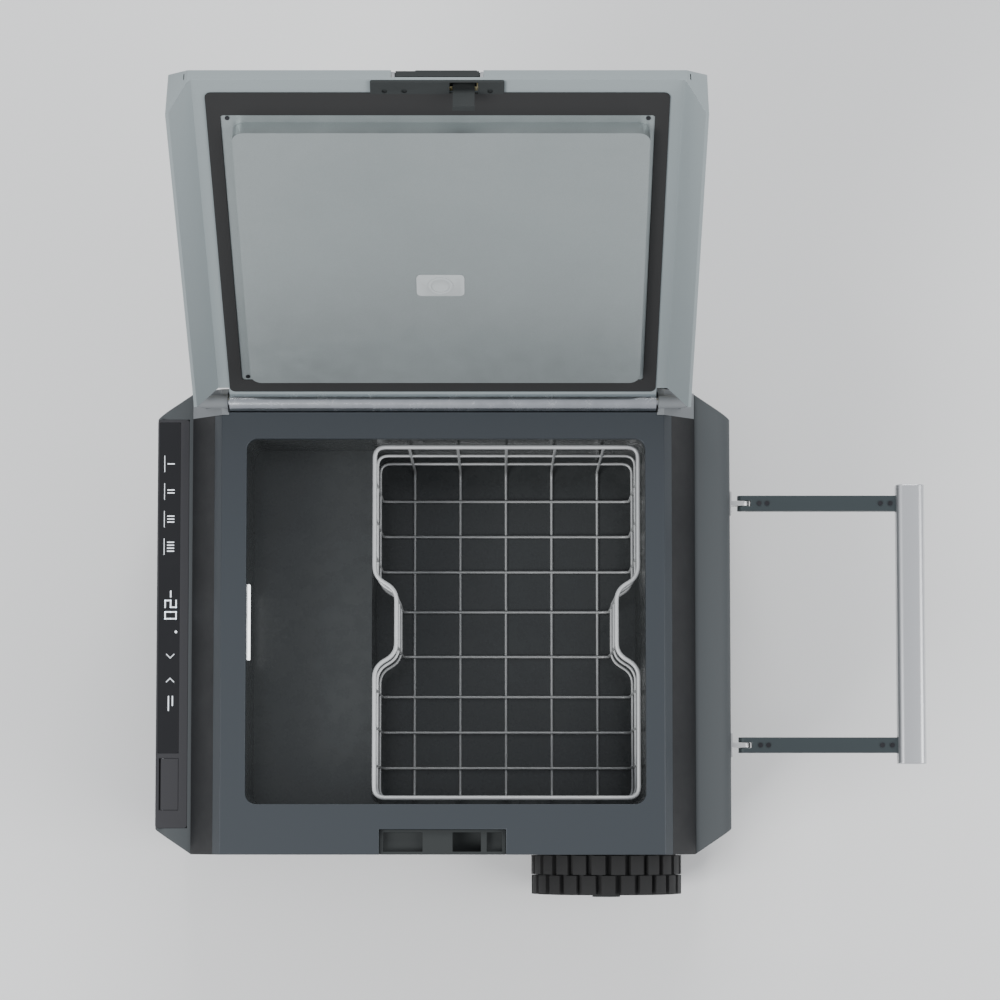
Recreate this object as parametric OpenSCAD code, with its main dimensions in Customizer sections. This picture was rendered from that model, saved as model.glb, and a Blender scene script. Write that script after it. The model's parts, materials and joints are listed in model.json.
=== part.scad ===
// Portable compressor cooler fridge on two wheels, lid open and swing handle raised.
// Millimetres, +Z up. X runs from the control pod to the handle, -Y is the latch side.
// The origin is on the ground under the middle of the body.

/* [Body] */
// Overall width across both side pods
body_w = 580; // [540:10:660]
// Overall depth, front to rear
body_d = 464; // [430:2:540]
// Height of the rim above the ground
rim_h = 390; // [360:5:470]
// Gap between the ground and the base
clear_h = 40; // [32:1:50]
// Width of each side pod
pod_w = 37; // [30:1:44]
// Wall of the outer casing
wall = 3; // [2:0.5:4]

/* [Cold space] */
// Insulation between the front or rear casing and the tank
side_foam = 48; // [40:1:60]
// Distance from the step to the handle end of the tank
deep_w = 277; // [240:1:290]
// Length of the shallow shelf over the compressor
shelf_w = 121; // [100:1:125]
// Depth of the deep compartment under the rim
deep_d = 290; // [240:5:300]
// Depth of the shallow compartment under the rim
shelf_d = 128; // [100:1:140]
// Wall of the tank
tank_t = 2; // [1.5:0.5:3]
// Plan corner radius of the tank
tank_r = 11; // [6:1:20]

/* [Lid] */
// Thickness of the lid above the rim gap
lid_t = 46; // [38:1:60]
// Angle at which the open lid stops
lid_open = 124; // [100:1:130]
// Outer radius of the hinge barrel
barrel_r = 9.5; // [8:0.25:9.75]
// Radius of the hinge rod
rod_r = 4; // [3:0.5:5]

/* [Handle] */
// Distance from one handle arm to the other
arm_gap = 245; // [200:1:250]
// Width of one handle arm
arm_w = 15.7; // [12:0.1:18]
// Height of one handle arm
arm_h = 12; // [10:0.5:14]
// Distance from the body to the grip
arm_reach = 169; // [120:1:180]
// Length of the grip
grip_l = 283; // [275:1:320]
// Thickness of the grip along the pull
grip_w = 28.5; // [24:0.5:34]

/* [Wheels] */
// Outer radius of a tyre
wheel_r = 80; // [70:1:84]
// Width of a tyre
wheel_w = 42; // [34:1:50]
// Distance of the wheels from the middle of the body
wheel_x = 171; // [140:1:180]
// Radius of a wheel axle
axle_r = 6; // [5:0.5:8]
// Number of tread lugs around one edge of a tyre
lugs = 24; // [18:1:28]

/* [Basket] */
// Diameter of the basket's rim wire
rim_wire = 4.5; // [3:0.5:6]
// Diameter of the basket's cage wire
cage_wire = 3; // [2:0.5:4]
// Gap between the basket and the tank
basket_gap = 4; // [3:0.5:8]

/* [Hidden] */
$fn = 48;

dark = "#1e2226";
grey = "#41454a";
silver = "#aab1b3";

run_gap = 0.05;      // running fit of a pin in its bore
soft_gap = 0.3;      // gap between bodies that only meet
eps = 1;             // how far a cut runs past the face it opens

half_w = body_w / 2;
half_d = body_d / 2;
case_w = half_w - pod_w;
slope_run = 32;
slope_rise = 40;
slope = slope_run / slope_rise;
rim_w = case_w - slope_run;
sh_z = rim_h - slope_rise;
rim_t = 10;
case_top = rim_h - rim_t;
pod_top = sh_z - 5;
pod_cut = 25;
pan_t = 8;
pan_top = clear_h + pan_t;

// Cold space
tank_y = half_d - side_foam - 2;
tank_x1 = 202;
step_x = tank_x1 - deep_w;
tank_x0 = step_x - shelf_w;
deep_z = rim_h - deep_d;
shelf_z = rim_h - shelf_d;
tank_lip = 6;
foam_gap = 0.5;
foam_z0 = deep_z - 22;
foam_z1 = case_top - tank_t - foam_gap;
bay_x = step_x - 25;
bay_z = shelf_z - 26;
bay_mid = -(case_w + wall - bay_x) / 2 + 2;
coil_t = 3;
coil_z0 = deep_z + 30;
coil_z1 = bay_z - 2;
pipe_r = 3;
pipe_y = 20;
pipe_z = 160;

// Hinge
hinge_y = half_d - 13;
hinge_z = rim_h + 1;
barrel_l = rim_w - 8;
bracket_x0 = barrel_l + 2;
bracket_x1 = bracket_x0 + 28;
pin_boss_r = 6.5;
trough_r = barrel_r + 0.8;

// Lid, in its closed place
lid_z0 = rim_h + 2;
lid_z1 = lid_z0 + lid_t;
lid_y0 = -half_d + 2;
lid_y1 = hinge_y - 13;
lid_w = rim_w + 25.5;
lid_wall = 3;
skirt_z = rim_h - 23;
lid_notch = 20;
nose_t = 12;
nose_run = 48;
nose_slope = atan2(lid_t - nose_t, nose_run);
liner_x = 199;
liner_y = tank_y + 3;
plateau_z = rim_h - 12;
plateau_gap = 7;
seal_w = 17;
seal_x = rim_w - 9;
seal_y0 = -half_d + 18;
seal_y1 = lid_y1 - 3;

// Latch
recess_w = 63;
recess_y = -half_d + 25;
recess_z = rim_h - 30;
keeper_top = rim_h - 6;
slot_x0 = 10;
slot_x1 = 38;
slot_y0 = -half_d + 3;
slot_y1 = -half_d + 22;
latch_w = 42;
latch_y = -half_d + 14;
latch_z = lid_z0 + 12;
latch_pin_r = 2;
hook_z = rim_h - 22;

// Swing handle
pivot_x = half_w + 14;
arm_z = pod_top - 23;
arm_pin_r = 3;
lug_t = 5;
pivot_plate = 24;
grip_x0 = half_w + arm_reach;
arm_out = 10;
rivet_h = 1.2;

// Wheels
axle_z = wheel_r;
hub_r = wheel_r * 0.6;
wheel_in = half_d + 3;
wheel_mid = wheel_in + wheel_w / 2;
lug_h = 6;
lug_w = 2 * PI * wheel_r / lugs * 0.7;

// Control panel on the left pod
panel_x0 = -half_w + 3;
panel_x1 = -case_w - 13;
panel_y1 = half_d - 27;
flap_y0 = -half_d + 44;
flap_y1 = flap_y0 + 52;
glass_t = 3;
bezel_t = 2;

// Basket
bx0 = step_x + basket_gap + rim_wire / 2;
bx1 = tank_x1 - basket_gap - rim_wire / 2;
by = tank_y - basket_gap - rim_wire / 2;
basket_top = rim_h - 20;
basket_z = deep_z + soft_gap + cage_wire / 2;
inset = 22;
inset_y0 = 32;
inset_y1 = 45;

module slab(x0, x1, y0, y1, z0, z1)
    translate([x0, y0, z0]) cube([x1 - x0, y1 - y0, z1 - z0]);

module both_x() {
    children();
    mirror([1, 0, 0]) children();
}

module both_y() {
    children();
    mirror([0, 1, 0]) children();
}

// An outline in X and Z, carried along Y
module along_y(y0, y1)
    translate([0, y1, 0]) rotate([90, 0, 0]) linear_extrude(y1 - y0) children();

module cyl_y(x, z, y0, y1, r)
    translate([x, y1, z]) rotate([90, 0, 0]) cylinder(h = y1 - y0, r = r);

module cyl_x(y, z, x0, x1, r)
    translate([x0, y, z]) rotate([0, 90, 0]) cylinder(h = x1 - x0, r = r);

module round_plan(x0, x1, y0, y1, r) {
    translate([x0 + r, y0]) square([x1 - x0 - 2 * r, y1 - y0]);
    translate([x0, y0 + r]) square([x1 - x0, y1 - y0 - 2 * r]);
    for (x = [x0 + r, x1 - r], y = [y0 + r, y1 - r])
        translate([x, y]) circle(r);
}

module round_block(x0, x1, y0, y1, z0, z1, r)
    translate([0, 0, z0]) linear_extrude(z1 - z0) round_plan(x0, x1, y0, y1, r);

module case_outline(t, z0, z1)
    polygon([
        [-(case_w - t), z0], [case_w - t, z0],
        [case_w - t, sh_z - t * 0.4],
        [case_w - t * 1.28 - (z1 - sh_z) * slope, z1],
        [-(case_w - t * 1.28 - (z1 - sh_z) * slope), z1],
        [-(case_w - t), sh_z - t * 0.4]]);

// Everything below turns with the lid from its closed place to its open stop
module open_lid()
    translate([0, hinge_y, hinge_z]) rotate([-lid_open, 0, 0])
        translate([0, -hinge_y, -hinge_z]) children();

module latch_recess()
    slab(-recess_w, recess_w, -half_d - eps, recess_y, recess_z, rim_h + eps);

module bracket_space()
    both_x() slab(bracket_x0 - 1, case_w + eps, hinge_y - 13, half_d + eps,
        sh_z - 2, rim_h + eps);

module hinge_trough()
    cyl_x(hinge_y, hinge_z, -bracket_x0, bracket_x0, trough_r);

module bay_space(t)
    slab(-case_w + t, bay_x, -half_d + t, half_d - t, pan_top, bay_z);

module vent_hole(g, y0, y1)
    slab(-case_w + 13 + g, bay_x - 12 - g, y0, y1, clear_h + 20 + g, bay_z - 36 - g);

module axle_space(g)
    both_y() slab(wheel_x - 22 - g, wheel_x + 22 + g, -half_d + wall, -half_d + wall + 24 + g,
        pan_top, axle_z + 24 + g);

module outer_shell() color(dark) difference() {
    along_y(-half_d, half_d) case_outline(0, clear_h, case_top);
    along_y(-half_d + wall, half_d - wall) case_outline(wall, clear_h - eps, case_top + eps);
    latch_recess();
    bracket_space();
    vent_hole(0, -half_d - eps, -half_d + wall + eps);
    vent_hole(0, half_d - wall - eps, half_d + eps);
    both_y() cyl_y(wheel_x, axle_z, -half_d - eps, -half_d + wall + eps, axle_r);
}

module top_rim() color(dark) difference() {
    intersection() {
        along_y(-half_d, half_d) case_outline(0, clear_h, rim_h);
        slab(-half_w, half_w, -half_d, half_d, case_top, rim_h);
    }
    round_block(tank_x0, tank_x1, -tank_y, tank_y, case_top - eps, rim_h + eps, tank_r);
    latch_recess();
    bracket_space();
    hinge_trough();
}

module base_pan() color(grey) difference() {
    slab(-case_w + wall, case_w - wall, -half_d + wall, half_d - wall, clear_h, pan_top);
    for (x = [-200 : 20 : -120], y = [-90, 0, 90])
        translate([x, y, clear_h - eps]) cylinder(h = pan_t + 2 * eps, r = 4);
}

// Side pod, drawn at +X: slanted ends in plan and a rounded outer ridge
module pod_body(t) {
    ridge = 14 - t;
    intersection() {
        translate([0, 0, clear_h]) linear_extrude(rim_h)
            polygon([
                [case_w - eps * sign(t), -half_d + t * 1.3],
                [case_w, -half_d + t * 1.3],
                [half_w - t, -half_d + pod_cut + t * 0.9],
                [half_w - t, half_d - pod_cut - t * 0.9],
                [case_w, half_d - t * 1.3],
                [case_w - eps * sign(t), half_d - t * 1.3]]);
        along_y(-half_d, half_d) union() {
            translate([case_w - eps * sign(t), clear_h + 4 + t])
                square([pod_w - t + eps * sign(t), pod_top - clear_h - 4 - t - 14]);
            translate([case_w - eps * sign(t), clear_h + 4 + t])
                square([pod_w - 14 + eps * sign(t), pod_top - clear_h - 4 - 2 * t]);
            translate([half_w - 14, pod_top - 14]) circle(ridge);
        }
    }
}

module panel_cut()
    slab(panel_x0, panel_x1, -panel_y1, panel_y1, pod_top - bezel_t, pod_top + eps);

module left_pod() color(grey) difference() {
    mirror([1, 0, 0]) pod_body(0);
    mirror([1, 0, 0]) pod_body(wall);
    slab(-half_w - eps, -case_w - 4, -panel_y1 - 1, panel_y1 + 1, pod_top - 14, pod_top + eps);
}

// Frame of the control panel: closes the top of the left pod
module control_bezel() color(dark) difference() {
    round_block(-half_w + 1, -case_w - 4, -panel_y1 - 1, panel_y1 + 1, pod_top - 14, pod_top, 3);
    slab(panel_x0, panel_x1, flap_y1 + 5, panel_y1 - 2, pod_top - glass_t, pod_top + eps);
    slab(panel_x0 + 2, panel_x1 - 2, flap_y1 + 10, panel_y1 - 7, pod_top - 14 - eps, pod_top);
    slab(panel_x0 + 1.5, panel_x1, flap_y0, flap_y1, pod_top - 5, pod_top + eps);
    slab(panel_x0 + 5, panel_x1 - 2, flap_y0 + 3, flap_y1 - 3, pod_top - 14 - eps, pod_top);
}

module control_glass() color("#050607")
    round_block(panel_x0, panel_x1, flap_y1 + 5, panel_y1 - 2, pod_top - glass_t, pod_top, 2);

module display_board() color("#1d5a34") {
    slab(panel_x0 + 3, panel_x1 - 3, flap_y1 + 11, panel_y1 - 8, pod_top - 9, pod_top - 7.4);
    slab(panel_x0 + 6, panel_x1 - 6, -2, 36, pod_top - 8, pod_top - glass_t);
    for (y = [-60, 76, 104, 132, 160])
        slab(panel_x0 + 8, panel_x1 - 8, y - 4, y + 4, pod_top - 8, pod_top - glass_t);
}

module port_sockets() color("#101113") difference() {
    slab(panel_x0 + 5, panel_x1 - 2, flap_y0 + 3, flap_y1 - 3, pod_top - 34, pod_top - 8);
    translate([(panel_x0 + panel_x1) / 2 + 1.5, flap_y0 + 14, pod_top - 30])
        cylinder(h = 40, r = 5.5);
    slab(panel_x0 + 8, panel_x1 - 5, flap_y0 + 27, flap_y0 + 41, pod_top - 24, pod_top);
}

module port_flap() color(dark) difference() {
    union() {
        slab(panel_x0 + 3 + soft_gap, panel_x1 - soft_gap, flap_y0 + soft_gap, flap_y1 - soft_gap,
            pod_top - 1.6, pod_top);
        cyl_y(panel_x0 + 5.2, pod_top - 2.1, flap_y0 + soft_gap, flap_y1 - soft_gap, 1.8);
    }
    cyl_y(panel_x0 + 5.2, pod_top - 2.1, flap_y0 - eps, flap_y1 + eps, 0.8 + run_gap);
}

module flap_pin() color(silver)
    cyl_y(panel_x0 + 5.2, pod_top - 2.1, flap_y0, flap_y1, 0.8);

module right_pod() color(grey) difference() {
    pod_body(0);
    pod_body(wall);
}

module cold_space(t, top) {
    round_block(tank_x0 - t, tank_x1 + t, -tank_y - t, tank_y + t, shelf_z - t, top, tank_r + t);
    round_block(step_x - t, tank_x1 + t, -tank_y - t, tank_y + t, deep_z - t, top, tank_r + t);
}

module inner_tank() color(silver) difference() {
    union() {
        cold_space(tank_t, case_top);
        round_block(tank_x0 - tank_lip, tank_x1 + tank_lip, -tank_y - tank_lip,
            tank_y + tank_lip, case_top - tank_t, case_top, tank_r + tank_lip);
    }
    cold_space(0, case_top + eps);
}

module coil_ring(t)
    round_block(step_x - t, tank_x1 + t, -tank_y - t, tank_y + t, coil_z0, coil_z1, tank_r + t);

module evaporator() color("#b9bec2") difference() {
    coil_ring(tank_t + coil_t);
    translate([0, 0, -eps]) coil_ring(tank_t);
    translate([0, 0, eps]) coil_ring(tank_t);
}

module foam_body() color("#e8e0b8") difference() {
    along_y(-half_d + wall + foam_gap, half_d - wall - foam_gap)
        case_outline(wall + foam_gap, foam_z0, foam_z1);
    cold_space(tank_t + 0.2, foam_z1 + eps);
    coil_ring(tank_t + coil_t + 0.2);
    bay_space(0);
    latch_recess();
    bracket_space();
    axle_space(foam_gap);
    cyl_x(pipe_y, pipe_z, bay_x - eps, step_x, pipe_r + 0.2);
}

module light_lens() color("#ffffff")
    round_block(tank_x0, tank_x0 + 2, -38, 38, rim_h - 38, rim_h - 30, 0.9);

module compressor() color("#17181a") {
    translate([bay_mid, 0, pan_top + 12]) rotate_extrude($fn = 64)
        polygon([[0, 0], [46, 0], [52, 6], [52, 58], [55, 58], [55, 62], [52, 62],
            [52, 106], [44, 120], [26, 128], [0, 130]]);
}

module compressor_plate() color(grey) difference() {
    slab(bay_mid - 62, bay_mid + 62, -62, 62, pan_top + 8, pan_top + 12);
    for (x = [-1, 1], y = [-1, 1])
        translate([bay_mid + x * 52, y * 52, pan_top]) cylinder(h = 20, r = 4);
}

module compressor_mounts() color("#0c0c0c")
    for (x = [-1, 1], y = [-1, 1])
        translate([bay_mid + x * 52, y * 52, pan_top]) {
            cylinder(h = 8, r = 9);
            cylinder(h = 13, r = 4);
        }

module condenser() color("#8c9296") {
    fins = 24;
    for (i = [0 : fins])
        slab(bay_mid - 60 + i * 5 - 0.5, bay_mid - 60 + i * 5 + 0.5, 136, 160, pan_top, pan_top + 130);
    for (z = [20, 45, 70, 95, 115])
        cyl_x(148, pan_top + z, bay_mid - 62, bay_mid + 62, 3.5);
}

fan_z = pan_top + 62;
fan_y0 = half_d - wall - 32;

module fan_frame() color(dark) {
    difference() {
        slab(bay_mid - 62, bay_mid + 62, fan_y0, fan_y0 + 25, pan_top, fan_z + 62);
        cyl_y(bay_mid, fan_z, fan_y0 - eps, fan_y0 + 26, 57);
    }
    cyl_y(bay_mid, fan_z, fan_y0, fan_y0 + 4, 18);
    cyl_y(bay_mid, fan_z, fan_y0 + 3, fan_y0 + 23, 2);
    for (a = [0, 120, 240])
        translate([bay_mid, fan_y0, fan_z]) rotate([0, a, 0]) slab(-3, 3, 0, 3, 16, 58);
}

module fan_rotor() color("#222427") difference() {
    union() {
        cyl_y(bay_mid, fan_z, fan_y0 + 5, fan_y0 + 22, 20);
        for (a = [0 : 360 / 7 : 359])
            translate([bay_mid, fan_y0 + 13.5, fan_z]) rotate([0, a, 0])
                rotate([0, 0, 35]) slab(-10, 10, -0.9, 0.9, 17, 53);
    }
    cyl_y(bay_mid, fan_z, fan_y0, fan_y0 + 30, 2 + run_gap);
}

module controller_board() color("#1d5a34") {
    x0 = -case_w + wall;
    slab(x0 + 6, x0 + 7.6, -200, -92, pan_top + 20, pan_top + 130);
    for (y = [-192, -100], z = [28, 122])
        cyl_x(y, pan_top + z, x0, x0 + 8, 3);
    slab(x0 + 7, x0 + 24, -180, -140, pan_top + 60, pan_top + 100);
    slab(x0 + 7, x0 + 14, -130, -105, pan_top + 40, pan_top + 60);
}

module suction_line() color("#b87340") difference() {
    cyl_x(pipe_y, pipe_z, bay_mid + 40, step_x - tank_t - coil_t, pipe_r);
    translate([bay_mid, 0, pan_top]) cylinder(h = 200, r = 52, $fn = 64);
}

module discharge_line() color("#b87340") difference() {
    cyl_y(bay_mid - 2.5, pan_top + 90, 40, 136, pipe_r);
    translate([bay_mid, 0, pan_top]) cylinder(h = 200, r = 52, $fn = 64);
}

module vent_grille(y0) {
    z0 = clear_h + 20;
    z1 = bay_z - 36;
    difference() {
        vent_hole(0, y0, y0 + wall);
        for (z = [z0 + 10 : 12 : z1 - 14])
            slab(-case_w + 21, bay_x - 20, y0 - eps, y0 + wall + eps, z, z + 6);
    }
}

module vent_grille_front() color(dark) vent_grille(-half_d);

module vent_grille_rear() color(dark) vent_grille(half_d - wall);

module latch_keeper() color("#15171a") difference() {
    round_block(-recess_w, recess_w, -half_d, recess_y, recess_z, keeper_top, 2);
    slab(slot_x0, slot_x1, slot_y0, slot_y1, recess_z + 4, keeper_top + eps);
    slab(-recess_w + 4, -20, slot_y0, slot_y1, keeper_top - 8, keeper_top + eps);
    slab(slot_x1 + 6, recess_w - 4, slot_y0, slot_y1, keeper_top - 8, keeper_top + eps);
}

module hinge_rod() color(silver)
    cyl_x(hinge_y, hinge_z, -bracket_x1, bracket_x1, rod_r);

module hinge_brackets() color(grey) both_x() difference() {
    union() {
        intersection() {
            slab(bracket_x0 - 1, case_w, hinge_y - 13, half_d, sh_z - 2, rim_h);
            along_y(0, half_d) case_outline(0, clear_h, rim_h);
        }
        slab(bracket_x0 + 4, bracket_x1 - 4, hinge_y - 5, hinge_y + 5, sh_z, hinge_z);
        cyl_x(hinge_y, hinge_z, bracket_x0, bracket_x1, pin_boss_r);
    }
    cyl_x(hinge_y, hinge_z, bracket_x0 - 5, bracket_x1 + 9, rod_r);
    cyl_x(hinge_y, hinge_z, bracket_x0 - 5, bracket_x0, trough_r);
}

module hinge_barrel() color(silver) difference() {
    cyl_x(hinge_y, hinge_z, -barrel_l, barrel_l, barrel_r);
    cyl_x(hinge_y, hinge_z, -barrel_l - eps, barrel_l + eps, rod_r + run_gap);
}

module lid_outline()
    polygon([
        [-(rim_w + 2.5), lid_z0], [rim_w + 2.5, lid_z0],
        [lid_w - 3, skirt_z], [lid_w, skirt_z],
        [lid_w, lid_z1 - 13], [lid_w - 12, lid_z1],
        [-(lid_w - 12), lid_z1], [-lid_w, lid_z1 - 13],
        [-lid_w, skirt_z], [-(lid_w - 3), skirt_z]]);

module latch_pocket()
    slab(-latch_w, latch_w, lid_y0 - eps, lid_y0 + 24, lid_z0 + lid_wall, latch_z + 7);

// What the sloping nose leaves free above the front of the lid, sunk by t
module above_nose(t)
    translate([0, lid_y0, lid_z0 + nose_t]) rotate([nose_slope, 0, 0])
        slab(-lid_w - eps, lid_w + eps, -lid_t, nose_run * 2, -t, lid_t * 2);

module hook_path()
    slab(slot_x0 + 1, slot_x1 - 1, slot_y0, slot_y1 - 3, lid_z0 - 6, lid_z0 + lid_wall + eps);

module lid_shell() color("#2b3036") open_lid() difference() {
    union() {
        along_y(lid_y0, lid_y1) lid_outline();
        slab(-barrel_l, barrel_l, lid_y1 - eps, hinge_y - 8, lid_z0 + 1, lid_z0 + 6);
    }
    difference() {
        slab(-lid_w + 16, lid_w - 16, lid_y0 + lid_wall, lid_y1 - lid_wall,
            lid_z0 + lid_wall, lid_z1 - lid_wall);
        above_nose(lid_wall);
    }
    slab(-liner_x, liner_x, -liner_y, liner_y, lid_z0 - eps, lid_z0 + lid_wall + eps);
    latch_pocket();
    above_nose(0);
    hook_path();
    cyl_x(hinge_y, hinge_z, -barrel_l - eps, barrel_l + eps, barrel_r);
    both_x() slab(barrel_l, lid_w + eps, hinge_y - lid_notch, hinge_y + 10,
        skirt_z - eps, lid_z1 + eps);
    both_x() translate([lid_w, lid_y0, skirt_z - eps]) rotate([0, 0, 45])
        slab(-14, 14, -14, 14, 0, lid_t + 60);
}

module lid_foam() color("#e8e0b8") open_lid() difference() {
    slab(-lid_w + 18, lid_w - 18, lid_y0 + lid_wall + 1, lid_y1 - lid_wall - foam_gap,
        lid_z0 + lid_wall, lid_z1 - lid_wall);
    latch_pocket();
    above_nose(lid_wall + foam_gap);
    both_x() slab(barrel_l - 3, lid_w, hinge_y - lid_notch - 3, hinge_y, lid_z0, lid_z1);
}

module lid_liner() color(silver) open_lid() difference() {
    union() {
        slab(-liner_x, liner_x, -liner_y, liner_y, lid_z0, lid_z0 + lid_wall);
        round_block(tank_x0 + plateau_gap, tank_x1 - plateau_gap, -tank_y + plateau_gap,
            tank_y - plateau_gap, plateau_z, lid_z0 + 1, tank_r);
    }
    round_block(tank_x0 + plateau_gap + 2, tank_x1 - plateau_gap - 2, -tank_y + plateau_gap + 2,
        tank_y - plateau_gap - 2, plateau_z + 2, lid_z0 + lid_wall + eps, tank_r - 2);
}

module lid_boss() color(silver) open_lid() difference() {
    union() {
        round_block(-23, 23, 16, 46, plateau_z - 1, plateau_z, 5);
        translate([0, 31, plateau_z - 2]) cylinder(h = 1.5, r = 12);
    }
    translate([0, 31, plateau_z - 3]) cylinder(h = 2.2, r = 9);
}

module lid_screws() color("#33373a") open_lid()
    for (x = [-1, 1], y = [-1, 1])
        translate([x * (liner_x - 6), y * (liner_y - 4), lid_z0 - 1]) cylinder(h = 1, r = 2.2);

module lid_seal() color("#0d0e0f") open_lid() difference() {
    round_block(-seal_x, seal_x, seal_y0, seal_y1, rim_h + soft_gap, lid_z0, 6);
    round_block(-seal_x + seal_w - 4, seal_x - seal_w + 4, -liner_y - 0.5, liner_y + 0.5,
        rim_h, lid_z0 + eps, 3);
}

module latch_plate() color("#121416") open_lid() difference() {
    round_block(-recess_w + 2, recess_w - 2, slot_y0 - 0.5, seal_y0 - 0.5, lid_z0 - 3, lid_z0, 2);
    hook_path();
    for (x = [-48, -30, 48])
        translate([x, latch_y, lid_z0 - 4]) cylinder(h = 3, r = 2.6);
}

module latch_lever() color("#17191c") open_lid() difference() {
    union() {
        slab(-latch_w + 4, latch_w - 4, lid_y0, lid_y0 + 5, lid_z0 + 4, latch_z - 1);
        slab(-20, 36, lid_y0 + 4, latch_y + 4, latch_z - 5, latch_z + 4);
        slab(slot_x0 + 4, slot_x1 - 4, latch_y - 2, latch_y + 4, hook_z, latch_z);
    }
    cyl_x(latch_y, latch_z, -latch_w, latch_w, latch_pin_r + run_gap);
}

module latch_pin() color(silver) open_lid() {
    cyl_x(latch_y, latch_z, -latch_w, latch_w, latch_pin_r);
    both_x() slab(latch_w - 3, latch_w, latch_y - 4, latch_y + 4, lid_z0 + lid_wall, latch_z + 6);
}

module latch_spring() color(silver) open_lid() {
    slab(-12, 8, lid_y0 + 22.8, lid_y0 + 23.6, lid_z0 + lid_wall, latch_z);
    slab(-12, 8, lid_y0 + 19.6, lid_y0 + 23.2, latch_z - 0.8, latch_z);
}

// Outline of the basket seen from above, moved inwards by k
function basket_outline(k) = [
    [bx0 + k, -by + k], [bx1 - k, -by + k],
    [bx1 - k, -inset_y1], [bx1 - inset - k, -inset_y0],
    [bx1 - inset - k, inset_y0], [bx1 - k, inset_y1],
    [bx1 - k, by - k], [bx0 + k, by - k],
    [bx0 + k, inset_y1], [bx0 + inset + k, inset_y0],
    [bx0 + inset + k, -inset_y0], [bx0 + k, -inset_y1]];

// A closed loop of wire, lying flat
module wire_loop(z, d)
    translate([0, 0, z]) linear_extrude(d) difference() {
        polygon(basket_outline(-d / 2));
        polygon(basket_outline(d / 2));
    }

module basket_rim() color("#c9cbcb") wire_loop(basket_top - rim_wire, rim_wire);

module basket_cage() color("#c9cbcb") {
    r = cage_wire / 2;
    top = basket_top - rim_wire;
    low = basket_z + r;
    cols = [for (i = [0 : 4]) bx0 + (bx1 - bx0) * (i + 0.7) / 5.4];
    rows = [for (s = [-1, 1], i = [0 : 2]) s * (inset_y1 + 22 + i * 38)];
    for (x = cols) {
        slab(x - r, x + r, -by, by, basket_z - r, basket_z + r);
        for (s = [-1, 1])
            slab(x - r, x + r, s * by - r, s * by + r, basket_z - r, top);
    }
    for (y = rows) {
        slab(bx0, bx1, y - r, y + r, low - 1, low + cage_wire - 1);
        for (x = [bx0, bx1])
            slab(x - r, x + r, y - r, y + r, low - 1, top);
    }
    for (y = [-inset_y0 + 8, inset_y0 - 8]) {
        slab(bx0 + inset, bx1 - inset, y - r, y + r, low - 1, low + cage_wire - 1);
        for (x = [bx0 + inset, bx1 - inset])
            slab(x - r, x + r, y - r, y + r, low - 1, top);
    }
    for (z = [deep_z + 90, deep_z + 180])
        wire_loop(z, cage_wire);
}

// A lug and pivot pin on the side pod for each arm of the handle
module handle_pivots() color(dark)
    for (y = [-arm_gap / 2, arm_gap / 2]) {
        slab(half_w, half_w + 2, y - pivot_plate / 2, y + pivot_plate / 2,
            arm_z - arm_h / 2 - 4, arm_z + arm_h / 2);
        slab(half_w, pivot_x, y - lug_t / 2, y + lug_t / 2, arm_z - arm_h / 2, arm_z + arm_h / 2);
        cyl_y(pivot_x, arm_z, y - lug_t / 2, y + lug_t / 2, arm_h / 2);
        cyl_y(pivot_x, arm_z, y - arm_w / 2, y + arm_w / 2, arm_pin_r);
    }

module handle_arms() color("#34393b")
    for (y = [-arm_gap / 2, arm_gap / 2]) difference() {
        union() {
            slab(pivot_x, grip_x0 + arm_out, y - arm_w / 2, y + arm_w / 2,
                arm_z - arm_h / 2, arm_z + arm_h / 2);
            cyl_y(pivot_x, arm_z, y - arm_w / 2, y + arm_w / 2, arm_h / 2);
        }
        slab(pivot_x - arm_h, pivot_x + arm_h / 2 + 1.5, y - lug_t / 2 - soft_gap,
            y + lug_t / 2 + soft_gap, arm_z - arm_h, arm_z + arm_h);
        cyl_y(pivot_x, arm_z, y - arm_w, y + arm_w, arm_pin_r + run_gap);
    }

module handle_grip() color("#b9bdbf") difference() {
    along_y(-grip_l / 2, grip_l / 2)
        round_plan(grip_x0, grip_x0 + grip_w, arm_z - 13, arm_z + 13, 7);
    for (y = [-arm_gap / 2, arm_gap / 2])
        slab(grip_x0 - eps, grip_x0 + arm_out, y - arm_w / 2, y + arm_w / 2,
            arm_z - arm_h / 2, arm_z + arm_h / 2);
}

module arm_rivets() color("#15181a")
    for (y = [-arm_gap / 2, arm_gap / 2])
        for (x = [pivot_x + 16, pivot_x + 24, grip_x0 - 16, grip_x0 - 6])
            translate([x, y, arm_z + arm_h / 2]) cylinder(h = rivet_h, r = 2.4);

module axle_blocks() color(grey) difference() {
    axle_space(0);
    both_y() cyl_y(wheel_x, axle_z, -half_d, -half_d + 40, axle_r);
}

module axle() {
    cyl_y(wheel_x, axle_z, -wheel_in - wheel_w, -half_d + wall + 24, axle_r);
    cyl_y(wheel_x, axle_z, -wheel_in + 0.2, -half_d, axle_r + 6);
}

module tyre() difference() {
    union() {
        cyl_y(wheel_x, axle_z, -wheel_in - wheel_w, -wheel_in, wheel_r - lug_h);
        for (i = [0 : lugs - 1], s = [0, 1])
            translate([wheel_x, -wheel_mid, axle_z]) rotate([0, (i + s / 2) * 360 / lugs + 180, 0])
                slab(-lug_w / 2, lug_w / 2, s == 0 ? 0.5 - wheel_w / 2 : 0.5,
                    s == 0 ? -0.5 : wheel_w / 2 - 0.5, wheel_r - lug_h - 3, wheel_r);
    }
    cyl_y(wheel_x, axle_z, -wheel_in - wheel_w - eps, -wheel_in + eps, hub_r);
}

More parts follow.
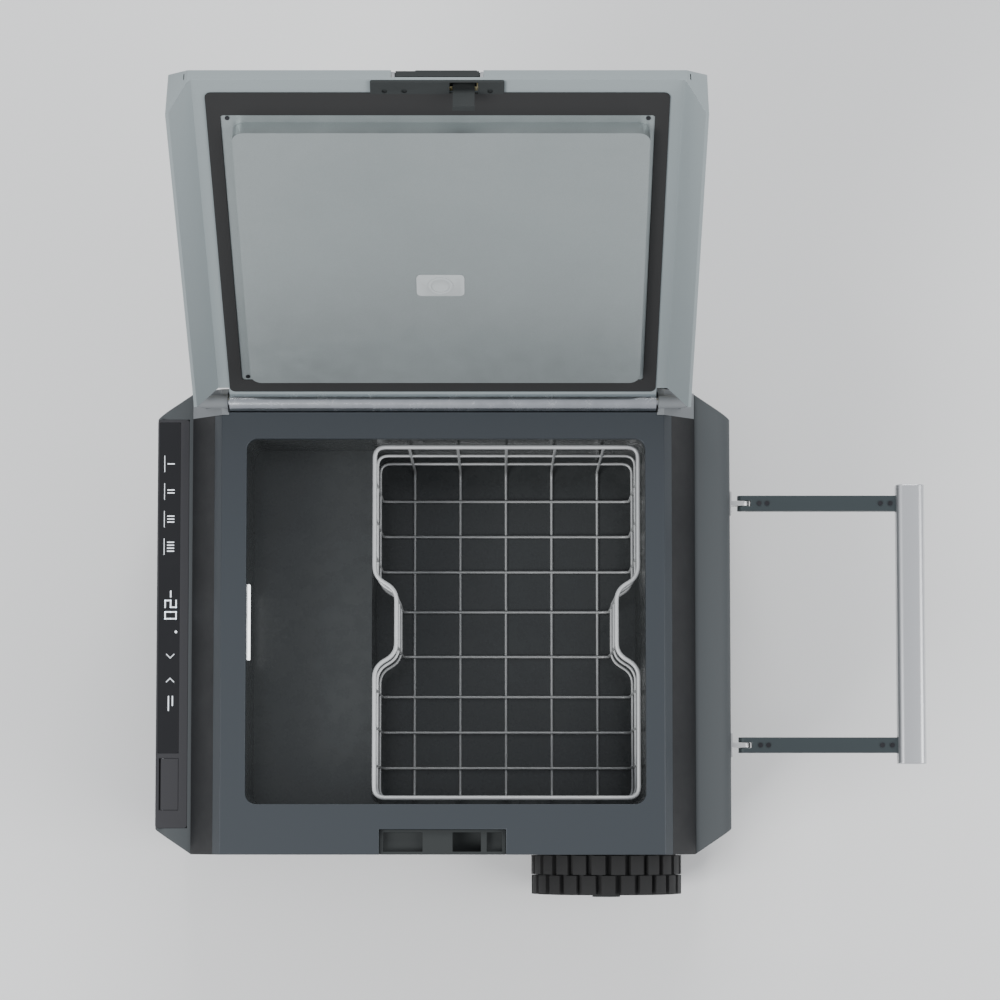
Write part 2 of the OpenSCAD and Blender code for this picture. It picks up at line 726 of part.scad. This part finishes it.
module hub() difference() {
    cyl_y(wheel_x, axle_z, -wheel_in - wheel_w, -wheel_in, hub_r);
    cyl_y(wheel_x, axle_z, -wheel_in - wheel_w - eps, -wheel_in + eps, axle_r + run_gap);
    for (a = [0 : 60 : 300])
        translate([wheel_x, -wheel_mid, axle_z]) rotate([0, a, 0]) translate([0, 0, hub_r * 0.62])
            cyl_y(0, 0, -wheel_w, wheel_w, hub_r * 0.2);
}

module cap() cyl_y(wheel_x, axle_z, -wheel_in - wheel_w - 3, -wheel_in - wheel_w, axle_r + 9);

module front_axle() color(silver) axle();
module rear_axle() color(silver) mirror([0, 1, 0]) axle();
module front_tyre() color("#101112") tyre();
module rear_tyre() color("#101112") mirror([0, 1, 0]) tyre();
module front_hub() color(grey) hub();
module rear_hub() color(grey) mirror([0, 1, 0]) hub();
module front_cap() color(dark) cap();
module rear_cap() color(dark) mirror([0, 1, 0]) cap();

module feet() color("#0c0c0c") both_y()
    translate([-case_w + 35, -half_d + 45, 0]) cylinder(h = clear_h, r = 16);

outer_shell();
top_rim();
base_pan();
left_pod();
right_pod();
control_bezel();
control_glass();
display_board();
port_sockets();
port_flap();
flap_pin();
inner_tank();
foam_body();
evaporator();
light_lens();
compressor();
compressor_plate();
compressor_mounts();
condenser();
fan_frame();
fan_rotor();
controller_board();
suction_line();
discharge_line();
vent_grille_front();
vent_grille_rear();
latch_keeper();
hinge_rod();
hinge_brackets();
hinge_barrel();
lid_shell();
lid_foam();
lid_liner();
lid_boss();
lid_screws();
lid_seal();
latch_plate();
latch_lever();
latch_pin();
latch_spring();
basket_rim();
basket_cage();
handle_pivots();
handle_arms();
handle_grip();
arm_rivets();
axle_blocks();
front_axle();
rear_axle();
front_tyre();
front_hub();
front_cap();
rear_tyre();
rear_hub();
rear_cap();
feet();
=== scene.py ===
"""Looks of the compressor cooler fridge: finishes, rounded edges, basket wires and panel marks."""

import json
from math import radians

import bmesh
import bpy
from bpy.props import FloatProperty, FloatVectorProperty, IntProperty, PointerProperty
from mathutils import Matrix, Vector


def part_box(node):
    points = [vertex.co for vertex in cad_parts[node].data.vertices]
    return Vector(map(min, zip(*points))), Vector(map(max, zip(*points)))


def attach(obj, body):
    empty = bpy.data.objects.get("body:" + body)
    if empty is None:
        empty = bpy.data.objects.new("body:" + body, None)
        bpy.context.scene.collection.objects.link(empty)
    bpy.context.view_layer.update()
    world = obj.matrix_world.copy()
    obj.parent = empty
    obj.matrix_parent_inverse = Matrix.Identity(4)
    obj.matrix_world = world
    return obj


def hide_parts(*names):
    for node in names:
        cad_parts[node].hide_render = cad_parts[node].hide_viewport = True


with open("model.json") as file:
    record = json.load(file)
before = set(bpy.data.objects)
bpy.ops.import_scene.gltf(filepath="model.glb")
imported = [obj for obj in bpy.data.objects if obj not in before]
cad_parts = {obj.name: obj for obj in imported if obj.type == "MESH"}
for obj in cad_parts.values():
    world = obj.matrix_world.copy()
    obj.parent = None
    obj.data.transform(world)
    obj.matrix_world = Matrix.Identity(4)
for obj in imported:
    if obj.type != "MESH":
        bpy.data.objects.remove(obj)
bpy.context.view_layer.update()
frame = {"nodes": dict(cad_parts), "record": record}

bl_info = {
    "name": "Compressor cooler fridge",
    "version": (1, 0, 0),
    "blender": (4, 5, 0),
    "location": "View3D > Sidebar > Cooler",
    "description": "Finishes and fine pieces of a wheeled compressor cooler fridge",
    "category": "Object",
}

RECORD = frame["record"]
BODY_OF = {n: body for body, names in RECORD["behaviour"]["bodies"].items() for n in names}
SLOT_OF = {part["node"]: part["material_slot"] for part in RECORD["subparts"]}
MM = 0.001


class CoolerSizes(bpy.types.PropertyGroup):
    """Sizes of the pieces that are finer than the construction."""

    edge: FloatProperty(name="Edge", description="Rounding of moulded edges",
                        default=1.2 * MM, min=0.0002, max=0.004, unit="LENGTH")
    rim_wire: FloatProperty(name="Rim wire", description="Diameter of the basket's rim wire",
                            default=4.5 * MM, min=0.002, max=0.008, unit="LENGTH")
    cage_wire: FloatProperty(name="Cage wire", description="Diameter of the basket's cage wire",
                             default=3 * MM, min=0.001, max=0.006, unit="LENGTH")
    wire_corner: FloatProperty(name="Wire corner", description="Bend radius of the basket's wire",
                               default=11 * MM, min=0.004, max=0.03, unit="LENGTH")
    digit: FloatProperty(name="Digit", description="Height of the display's digits",
                         default=11 * MM, min=0.006, max=0.016, unit="LENGTH")
    setting: IntProperty(name="Setting", description="Degrees below zero on the display",
                         default=20, min=0, max=99)


class CoolerColours(bpy.types.PropertyGroup):
    """Colours of the main finishes."""

    casing: FloatVectorProperty(name="Casing", description="Powder coat of rim and casing",
                                subtype="COLOR", default=(0.0045, 0.0052, 0.0062), size=3)
    pods: FloatVectorProperty(name="Pods", description="Moulded side pods",
                              subtype="COLOR", default=(0.007, 0.0075, 0.008), size=3)
    lid: FloatVectorProperty(name="Lid", description="Moulded lid rim and skirts",
                             subtype="COLOR", default=(0.27, 0.31, 0.32), size=3)
    tank: FloatVectorProperty(name="Tank", description="Metallic grey of the tank and lid liner",
                              subtype="COLOR", default=(0.36, 0.40, 0.40), size=3)
    # Cavity colour: partly the liner's own grey, partly painted reflection. It is darker than the
    # metal liner so as to stand in for the dark reflections it would show.
    cavity_grey_and_reflection: FloatVectorProperty(name="Cavity", description="Satin grey of the cold space",
                                subtype="COLOR", default=(0.055, 0.06, 0.06), size=3)
    marks: FloatVectorProperty(name="Marks", description="Lit marks on the control panel",
                               subtype="COLOR", default=(0.9, 0.95, 1.0), size=3)


# ---------------------------------------------------------------- shader maths

class Value:
    """A socket's output that takes part in Python arithmetic by adding Math nodes."""

    def __init__(self, finish, socket):
        self.finish, self.socket = finish, socket

    def maths(self, operation, first, second):
        return self.finish.node("ShaderNodeMath", {"operation": operation}, {0: first, 1: second})

    def __add__(self, other):
        return self.maths("ADD", self, other)

    def __radd__(self, other):
        return self.maths("ADD", other, self)

    def __sub__(self, other):
        return self.maths("SUBTRACT", self, other)

    def __rsub__(self, other):
        return self.maths("SUBTRACT", other, self)

    def __mul__(self, other):
        return self.maths("MULTIPLY", self, other)

    def __rmul__(self, other):
        return self.maths("MULTIPLY", other, self)


class Finish:
    """One procedural material, built on a Principled shader in Object coordinates."""

    def __init__(self, name):
        self.material = bpy.data.materials.new(name)
        self.material.use_nodes = True
        self.tree = self.material.node_tree
        self.tree.nodes.clear()
        self.shader = self.tree.nodes.new("ShaderNodeBsdfPrincipled")
        output = self.tree.nodes.new("ShaderNodeOutputMaterial")
        self.tree.links.new(self.shader.outputs[0], output.inputs["Surface"])
        self.place = self.node("ShaderNodeTexCoord", {}, {}, "Object")

    def feed(self, socket, value):
        if isinstance(value, Value):
            self.tree.links.new(value.socket, socket)
        else:
            socket.default_value = value

    def node(self, kind, settings, inputs, output=0):
        made = self.tree.nodes.new(kind)
        for key, setting in settings.items():
            if key == "stops":
                for stop, (position, shade) in zip(made.color_ramp.elements, setting):
                    stop.position = position
                    stop.color = (shade, shade, shade, 1)
            else:
                setattr(made, key, setting)
        for key, value in inputs.items():
            self.feed(made.inputs[key], value)
        return Value(self, made.outputs[output])

    def set(self, **inputs):
        for key, value in inputs.items():
            self.feed(self.shader.inputs[key.replace("_", " ")], value)

    def stretched(self, scale):
        return self.node("ShaderNodeMapping", {}, {"Vector": self.place, "Scale": scale})

    def noise(self, scale, detail=3, stretch=None):
        place = self.stretched(stretch) if stretch else self.place
        return self.node("ShaderNodeTexNoise", {}, {
            "Vector": place, "Scale": scale, "Detail": detail, "Roughness": 0.55})

    def mix(self, mask, first, second):
        return self.node("ShaderNodeMix", {"data_type": "RGBA"}, {
            0: mask, 6: (*first, 1), 7: (*second, 1)}, 2)

    def bump(self, height, strength, distance):
        self.set(Normal=self.node("ShaderNodeBump", {}, {
            "Strength": strength, "Distance": distance, "Height": height}))


def shade(colour, factor):
    return tuple(min(1.0, channel * factor) for channel in colour)


def surface(name, colour, metallic=0.0, rough=0.5, grain=900, relief=0.15, stretch=None,
            mottle=0.25, coat=0.0, sparkle=0.0):
    """A worn, grained surface: slow colour drift, finer roughness drift and a grain in relief."""
    finish = Finish(name)
    drift = finish.noise(7, 4)
    wear = finish.noise(60, 5)
    grains = finish.noise(grain, 2, stretch)
    mask = drift * 0.6 + wear * 0.4
    if sparkle:
        flake = finish.node("ShaderNodeTexVoronoi", {}, {"Vector": finish.place, "Scale": grain},
                            "Color")
        mask = mask * (1 - sparkle) + flake * sparkle
    finish.set(
        Base_Color=finish.mix(mask, shade(colour, 1 - mottle), shade(colour, 1 + mottle)),
        Roughness=rough + (wear - 0.5) * 0.25 + (grains - 0.5) * 0.1,
        Metallic=metallic, Coat_Weight=coat, Coat_Roughness=0.12)
    finish.bump(grains * 0.8 + wear * 0.2, relief, 0.0004)
    return finish.material


def lit(name, colour, strength):
    """A lit surface with a faint unevenness, as behind a diffuser."""
    finish = Finish(name)
    cloud = finish.noise(120, 2)
    finish.set(Base_Color=finish.mix(cloud, shade(colour, 0.8), colour), Roughness=0.4,
               Emission_Color=finish.mix(cloud, shade(colour, 0.85), colour),
               Emission_Strength=strength)
    return finish.material


def make_finishes(colours):
    """The finish of every material slot in the record."""
    lid = tuple(colours.lid)
    return {
        "casing": surface("casing", tuple(colours.casing), rough=0.5, grain=1500, relief=0.3),
        "base_grey": surface("base_grey", (0.10, 0.11, 0.12), rough=0.5, grain=800),
        "pod_plastic": surface("pod_plastic", tuple(colours.pods), rough=0.42, grain=1800,
                               relief=0.35),
        "bezel_black": surface("bezel_black", (0.016, 0.017, 0.019), rough=0.5, grain=1600),
        "panel_glass": surface("panel_glass", (0.004, 0.004, 0.005), rough=0.12, grain=30,
                               relief=0.01, coat=0.6),
        "circuit_board": surface("circuit_board", (0.02, 0.14, 0.06), rough=0.4, grain=500),
        "steel": surface("steel", (0.55, 0.56, 0.57), 1.0, 0.32, 300, 0.1, (1, 12, 12)),
        "tank_silver": surface("tank_silver", tuple(colours.tank), 0.55, 0.36, 2600, 0.12,
                               mottle=0.22, coat=0.15, sparkle=0.35),
        # The cold space's grey is partly its own colour and partly painted reflection: darkened to
        # stand in for the dark things a metal liner mirrors.
        "tank_grey": surface("tank_grey", tuple(colours.cavity_grey_and_reflection), 0.4, 0.28, 2600, 0.1,
                             coat=0.3),
        "foam": surface("foam", (0.75, 0.68, 0.42), rough=0.9, grain=350, relief=0.7),
        "aluminium_sheet": surface("aluminium_sheet", (0.7, 0.72, 0.74), 1.0, 0.35, 300),
        "lens": lit("lens", (0.95, 0.98, 1.0), 2.5),
        "compressor_black": surface("compressor_black", (0.012, 0.012, 0.013), rough=0.3,
                                    grain=400, coat=0.3),
        "rubber": surface("rubber", (0.012, 0.012, 0.013), rough=0.62, grain=1200, relief=0.2),
        "copper": surface("copper", (0.72, 0.33, 0.16), 1.0, 0.3, 300),
        "latch_black": surface("latch_black", (0.013, 0.014, 0.016), rough=0.48, grain=1600,
                               relief=0.25),
        "hinge_grey": surface("hinge_grey", (0.09, 0.095, 0.10), rough=0.45, grain=1500),
        "hinge_silver": surface("hinge_silver", (0.62, 0.64, 0.66), 1.0, 0.24, 420, 0.12,
                                (1, 18, 18)),
        "lid_shell": surface("lid_shell", lid, rough=0.42, grain=1700, relief=0.3, mottle=0.12),
        "screw_dark": surface("screw_dark", (0.05, 0.05, 0.055), 0.9, 0.35, 500),
        "wire_grey": surface("wire_grey", (0.56, 0.58, 0.58), 0.1, 0.34, 700, 0.1, mottle=0.1,
                             coat=0.3),
        "arm_grey": surface("arm_grey", (0.030, 0.036, 0.040), 0.3, 0.42, 900, 0.2, (1, 6, 6)),
        "grip_aluminium": surface("grip_aluminium", (0.66, 0.67, 0.69), 1.0, 0.3, 500, 0.12,
                                  (14, 1, 14)),
        "tyre": surface("tyre", (0.010, 0.010, 0.011), rough=0.7, grain=700, relief=0.5),
        "marks": lit("marks", tuple(colours.marks), 0.9),
    }


# ---------------------------------------------------------------- mesh helpers

def add_piece(name, mesh, body, material):
    piece = bpy.data.objects.new(name, mesh)
    bpy.context.scene.collection.objects.link(piece)
    mesh.materials.clear()
    mesh.materials.append(material)
    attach(piece, body)
    return piece


def mesh_from(bm, name):
    mesh = bpy.data.meshes.new(name)
    bm.to_mesh(mesh)
    bm.free()
    return mesh


def add_block(bm, low, high):
    size = Vector(high) - Vector(low)
    middle = (Vector(high) + Vector(low)) / 2
    bmesh.ops.create_cube(bm, size=1, matrix=Matrix.Translation(middle) @ Matrix.Diagonal(
        (*size, 1)))


def add_disc(bm, centre, radius, height, segments=24):
    bmesh.ops.create_cone(bm, cap_ends=True, segments=segments, radius1=radius, radius2=radius,
                          depth=height, matrix=Matrix.Translation(centre))


def rounded_copy(node, width, segments=2):
    """A node's own shape with its sharp edges rounded, standing for the node."""
    bm = bmesh.new()
    bm.from_mesh(frame["nodes"][node].data)
    bmesh.ops.remove_doubles(bm, verts=bm.verts, dist=1e-6)
    bmesh.ops.dissolve_limit(bm, angle_limit=radians(0.5), verts=bm.verts, edges=bm.edges)
    mesh = mesh_from(bm, node + "_finished")
    piece = add_piece(node + "_finished", mesh, BODY_OF[node],
                      bpy.data.materials[SLOT_OF[node]])
    bevel = piece.modifiers.new("edges", "BEVEL")
    bevel.width = width
    bevel.segments = segments
    bevel.limit_method = "ANGLE"
    bevel.angle_limit = radians(35)
    bevel.use_clamp_overlap = True
    mesh.shade_smooth()
    mesh.set_sharp_from_angle(angle=radians(50))
    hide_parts(node)
    return piece


def rounded_path(points, radius, closed, steps=6):
    """The points with each corner replaced by a smooth bend."""
    count = len(points)
    path = []
    for i, corner in enumerate(points):
        if not closed and i in (0, count - 1):
            path.append(corner)
            continue
        before = points[i - 1] - corner
        after = points[(i + 1) % count] - corner
        reach = min(radius, before.length * 0.45, after.length * 0.45)
        start = corner + before.normalized() * reach
        end = corner + after.normalized() * reach
        for k in range(steps + 1):
            t = k / steps
            path.append(start * (1 - t) ** 2 + corner * 2 * t * (1 - t) + end * t * t)
    return path


def wires_mesh(name, wires, radius):
    """Round wires along the given paths, as one mesh."""
    curve = bpy.data.curves.new(name, "CURVE")
    curve.dimensions = "3D"
    curve.bevel_depth = radius
    curve.bevel_resolution = 3
    curve.use_fill_caps = True
    for path, closed in wires:
        spline = curve.splines.new("POLY")
        spline.points.add(len(path) - 1)
        spline.use_cyclic_u = closed
        for point, place in zip(spline.points, path):
            point.co = (*place, 1)
    holder = bpy.data.objects.new(name, curve)
    mesh = bpy.data.meshes.new_from_object(holder)
    bpy.data.objects.remove(holder)
    mesh.shade_smooth()
    return mesh


# ---------------------------------------------------------------- operators

class COOLER_OT_finishes(bpy.types.Operator):
    """Give every construction piece its finish"""
    bl_idname = "cooler.finishes"
    bl_label = "Finishes"

    def execute(self, context):
        finishes = make_finishes(context.scene.cooler_colours)
        for node, piece in frame["nodes"].items():
            for slot in piece.material_slots:
                slot.material = finishes[SLOT_OF[node]]
            if not piece.material_slots:
                piece.data.materials.append(finishes[SLOT_OF[node]])
        return {"FINISHED"}


class COOLER_OT_casing(bpy.types.Operator):
    """Round the moulded edges of the casing, lid, pods, latch, handle and tyres"""
    bl_idname = "cooler.casing"
    bl_label = "Rounded mouldings"

    def execute(self, context):
        edge = context.scene.cooler_sizes.edge
        soft = ("right_pod", "left_pod", "lid_shell", "handle_grip", "front_tyre", "rear_tyre")
        fine = ("top_rim", "control_bezel", "handle_pivots", "latch_keeper", "latch_plate",
                "latch_lever", "lid_seal", "handle_arms", "port_flap", "hinge_brackets", "lid_boss",
                "front_cap", "rear_cap", "feet", "front_hub", "rear_hub")
        for node in soft:
            rounded_copy(node, edge, 3)
        for node in fine:
            rounded_copy(node, edge / 2)
        return {"FINISHED"}


class COOLER_OT_basket(bpy.types.Operator):
    """Bend the wire basket from round wire"""
    bl_idname = "cooler.basket"
    bl_label = "Wire basket"

    # Depth and half lengths of the notches in the two long sides
    inset = 22 * MM
    notch_short = 32 * MM
    notch_long = 45 * MM
    # Wires that run front to rear: how many, the first one's place and the pitches in the width
    hoops, first_hoop, hoop_pitches = 5, 0.7, 5.4
    # Wires that run across: distance of the first from the notch, and their pitch
    first_row, row_pitch = 22 * MM, 38 * MM
    notch_row = 24 * MM

    def outline(self, low, high, z):
        x0, x1, y0, y1 = low.x, high.x, low.y, high.y
        return [Vector(p) for p in (
            (x0, y0, z), (x1, y0, z), (x1, -self.notch_long, z),
            (x1 - self.inset, -self.notch_short, z), (x1 - self.inset, self.notch_short, z),
            (x1, self.notch_long, z), (x1, y1, z), (x0, y1, z), (x0, self.notch_long, z),
            (x0 + self.inset, self.notch_short, z), (x0 + self.inset, -self.notch_short, z),
            (x0, -self.notch_long, z))]

    def execute(self, context):
        sizes = context.scene.cooler_sizes
        low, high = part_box("basket_rim")
        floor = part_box("basket_cage")[0].z
        middle = Vector((sizes.rim_wire / 2,) * 3)
        low, high = low + middle, high - middle
        thin = sizes.cage_wire / 2
        top = high.z - sizes.rim_wire / 2
        bottom = floor + thin
        bend = sizes.wire_corner
        material = bpy.data.materials["wire_grey"]

        rim = rounded_path(self.outline(low, high, high.z), bend, True)
        piece = add_piece("basket_rim_wire", wires_mesh("rim", [(rim, True)], sizes.rim_wire / 2),
                          "basket", material)
        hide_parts("basket_rim")

        wires = []
        for part in (1 / 3, 2 / 3):
            level = bottom + (top - bottom) * part
            wires.append((rounded_path(self.outline(low, high, level), bend, True), True))
        width = high.x - low.x
        for i in range(self.hoops):
            x = low.x + width * (i + self.first_hoop) / self.hoop_pitches
            hoop = [Vector((x, low.y, top)), Vector((x, low.y, bottom)),
                    Vector((x, high.y, bottom)), Vector((x, high.y, top))]
            wires.append((rounded_path(hoop, bend, False), False))
        rows = [side * (self.notch_long + self.first_row + self.row_pitch * i)
                for side in (-1, 1) for i in range(3)]
        spans = [(y, low.x, high.x) for y in rows]
        for y in (-self.notch_row, self.notch_row):
            spans.append((y, low.x + self.inset, high.x - self.inset))
        for y, x0, x1 in spans:
            base = bottom + sizes.cage_wire * 0.9
            hoop = [Vector((x0, y, top)), Vector((x0, y, base)),
                    Vector((x1, y, base)), Vector((x1, y, top))]
            wires.append((rounded_path(hoop, bend, False), False))
        piece = add_piece("basket_cage_wire", wires_mesh("cage", wires, thin),
                          "basket", material)
        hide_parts("basket_cage")
        return {"FINISHED"}


class COOLER_OT_panel(bpy.types.Operator):
    """Light the digits and plain marks of the control panel"""
    bl_idname = "cooler.panel"
    bl_label = "Panel marks"

    # Strokes that each digit lights: top, upper right, lower right, foot, lower left,
    # upper left, middle
    lit_strokes = ("abcdef", "bc", "abged", "abgcd", "fgbc", "afgcd", "afgedc", "abc",
                   "abcdefg", "abcdfg")

    relief = 0.2 * MM
    reading_start = 32 * MM
    foot_margin = 6.5 * MM
    degree_dot = (41 * MM, 1.3 * MM)
    down_arrow, up_arrow = 65.5 * MM, 89.5 * MM
    arrow_dot = 0.9 * MM
    level_marks = (161 * MM, 133 * MM, 105 * MM, 77 * MM)
    lock_mark = 113 * MM
    mark_half = 8 * MM
    bar_thick = 1.1 * MM

    def stroke(self, bm, start, end, thick):
        """A bar between two places, each (distance read along, height) on the glass."""
        u0, u1 = sorted((start[0], end[0]))
        v0, v1 = sorted((start[1], end[1]))
        half = thick / 2
        add_block(bm, (self.foot + v0 - half, self.begin - u1 - half, self.glass),
                  (self.foot + v1 + half, self.begin - u0 + half, self.glass + self.relief))

    def digit(self, bm, number, along, height, thick):
        w, h, m = height * 0.62, height, height / 2
        strokes = {"a": ((0, h), (w, h)), "b": ((w, m), (w, h)), "c": ((w, 0), (w, m)),
                   "d": ((0, 0), (w, 0)), "e": ((0, 0), (0, m)), "f": ((0, m), (0, h)),
                   "g": ((0, m), (w, m))}
        for name in self.lit_strokes[number]:
            start, end = strokes[name]
            self.stroke(bm, (along + start[0], start[1]), (along + end[0], end[1]), thick)

    def execute(self, context):
        sizes = context.scene.cooler_sizes
        low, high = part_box("control_glass")
        self.glass = high.z
        self.foot = low.x + self.foot_margin
        self.begin = self.reading_start
        height = sizes.digit
        thick = height * 0.12
        bm = bmesh.new()
        self.stroke(bm, (0, height / 2), (height * 0.5, height / 2), thick)
        for place, number in enumerate((sizes.setting // 10, sizes.setting % 10)):
            self.digit(bm, number, height * (0.85 + 1.05 * place), height, thick)
        along, radius = self.degree_dot
        add_disc(bm, (self.foot + height, self.begin - along, self.glass + self.relief / 2),
                 radius, self.relief)
        for centre, point in ((self.down_arrow, 1), (self.up_arrow, -1)):
            for step in range(9):
                u = centre + point * (2 - abs(step - 4)) * self.arrow_dot
                v = height / 2 + (step - 4) * self.arrow_dot
                self.stroke(bm, (u, v), (u, v), self.arrow_dot)
        for number, y in enumerate(self.level_marks):
            u = self.begin - y
            self.stroke(bm, (u - self.mark_half, -1.5 * MM), (u + self.mark_half, -1.5 * MM),
                        0.6 * MM)
            for bar in range(number + 1):
                start = u + (bar - number / 2) * 3 * MM
                self.stroke(bm, (start, 2 * MM), (start, 8 * MM), self.bar_thick)
        u = self.lock_mark
        self.stroke(bm, (u - 7 * MM, 4 * MM), (u + 7 * MM, 4 * MM), self.bar_thick)
        self.stroke(bm, (u - 7 * MM, 8 * MM), (u + 2 * MM, 8 * MM), self.bar_thick)
        add_piece("panel_marks", mesh_from(bm, "panel_marks"), "body",
                  bpy.data.materials["marks"])
        return {"FINISHED"}


class COOLER_OT_stage(bpy.types.Operator):
    """Set the floor, the soft lights and the camera above the open cooler"""
    bl_idname = "cooler.stage"
    bl_label = "Stage"

    def area(self, name, place, size, power, target):
        light = bpy.data.lights.new(name, "AREA")
        light.size = size
        light.energy = power
        holder = bpy.data.objects.new(name, light)
        holder.location = place
        holder.rotation_euler = (Vector(target) - Vector(place)).to_track_quat(
            "-Z", "Y").to_euler()
        bpy.context.scene.collection.objects.link(holder)

    def execute(self, context):
        scene = context.scene
        bm = bmesh.new()
        bmesh.ops.create_grid(bm, x_segments=1, y_segments=1, size=12)
        floor = bpy.data.objects.new("floor", mesh_from(bm, "floor"))
        scene.collection.objects.link(floor)
        finish = Finish("floor")
        cloud = finish.noise(1.5, 3)
        finish.set(Base_Color=finish.mix(cloud, (0.90, 0.90, 0.89), (0.93, 0.93, 0.92)),
                   Roughness=0.8)
        floor.data.materials.append(finish.material)

        world = bpy.data.worlds.new("studio")
        world.use_nodes = True
        world.node_tree.nodes["Background"].inputs["Color"].default_value = (0.9, 0.93, 1, 1)
        world.node_tree.nodes["Background"].inputs["Strength"].default_value = 0.55
        scene.world = world
        middle = (0, 0, 0.3)
        self.area("key", (-2.2, -1.6, 3.4), 1.8, 110, middle)
        self.area("fill", (2.6, -0.8, 2.6), 2.2, 60, middle)
        self.area("back", (0.2, 2.6, 2.8), 1.6, 60, middle)

        camera = bpy.data.cameras.new("camera")
        camera.sensor_width = 36
        camera.lens = 133.2
        camera.clip_end = 50
        holder = bpy.data.objects.new("camera", camera)
        holder.location = (0.057, -0.195, 4.07)
        holder.rotation_euler = (radians(4.9), 0, 0)
        scene.collection.objects.link(holder)
        scene.camera = holder
        return {"FINISHED"}


class COOLER_PT_panel(bpy.types.Panel):
    """Lists the steps that build the cooler's looks"""
    bl_label = "Compressor cooler"
    bl_idname = "COOLER_PT_panel"
    bl_space_type = "VIEW_3D"
    bl_region_type = "UI"
    bl_category = "Cooler"

    def draw(self, context):
        for group in (context.scene.cooler_sizes, context.scene.cooler_colours):
            for name in group.__annotations__:
                self.layout.prop(group, name)
        for step in STEPS:
            self.layout.operator(step.bl_idname)


STEPS = (COOLER_OT_stage, COOLER_OT_finishes, COOLER_OT_casing, COOLER_OT_basket,
         COOLER_OT_panel)
CLASSES = (CoolerSizes, CoolerColours, *STEPS, COOLER_PT_panel)


def register():
    for cls in CLASSES:
        bpy.utils.register_class(cls)
    bpy.types.Scene.cooler_sizes = PointerProperty(type=CoolerSizes)
    bpy.types.Scene.cooler_colours = PointerProperty(type=CoolerColours)


def unregister():
    del bpy.types.Scene.cooler_colours
    del bpy.types.Scene.cooler_sizes
    for cls in reversed(CLASSES):
        bpy.utils.unregister_class(cls)


def main():
    register()
    bpy.ops.cooler.stage()
    bpy.ops.cooler.finishes()
    bpy.ops.cooler.casing()
    bpy.ops.cooler.basket()
    bpy.ops.cooler.panel()


if __name__ == "__main__":
    main()
